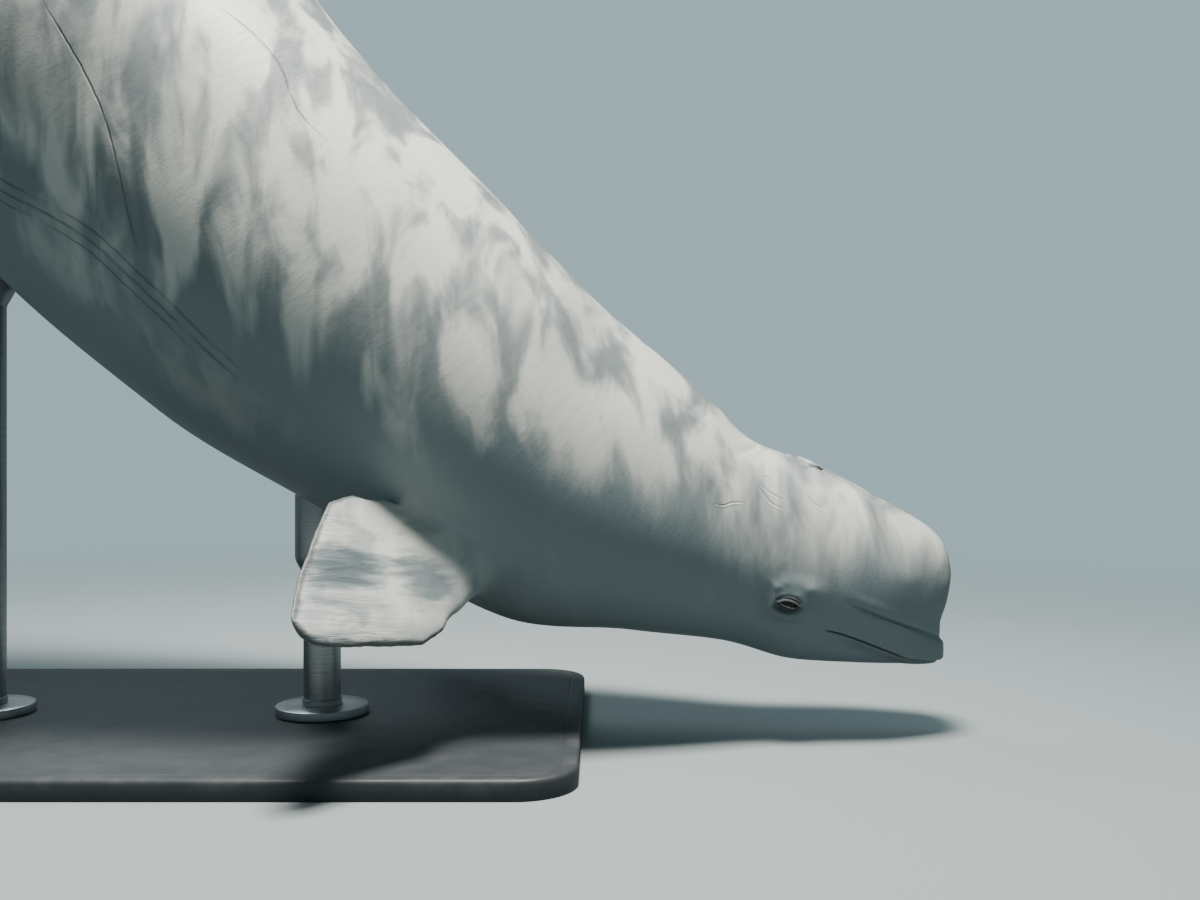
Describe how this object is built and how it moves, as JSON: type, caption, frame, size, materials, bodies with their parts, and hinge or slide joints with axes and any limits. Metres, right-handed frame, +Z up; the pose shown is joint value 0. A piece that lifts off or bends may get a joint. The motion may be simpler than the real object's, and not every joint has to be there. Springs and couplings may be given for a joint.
{
  "type": "beluga whale museum model",
  "caption": "Life-size adult beluga whale diving head down with flippers spread and flukes level, held over a flat base by upright rods.",
  "frame": {"origin": "Centre of the underside of the stand's base, level with the floor.", "axes": "+X is the way the whale faces, +Y is its left, and +Z is up. The base is flat in X and Y and the whale dives towards +X."},
  "size_m": [3.5077, 1.1444, 2.3364],
  "materials": {
    "skin": "smooth wet-looking skin",
    "eye": "glossy",
    "base": "satin dark grey paint",
    "rod": "brushed"
  },
  "bodies": {
    "root": {"head": "skin", "lower_jaw": "skin", "eye_left": "eye", "eye_right": "eye", "neck": "skin", "chest": "skin", "belly": "skin", "loin": "skin", "tail_stock": "skin", "flipper_left": "skin", "flipper_right": "skin", "fluke_left": "skin", "fluke_right": "skin", "stand_base": "base", "stand_flange_front": "rod", "stand_flange_rear": "rod", "stand_rod_front": "rod", "stand_rod_rear": "rod"}
  },
  "joints": []
}
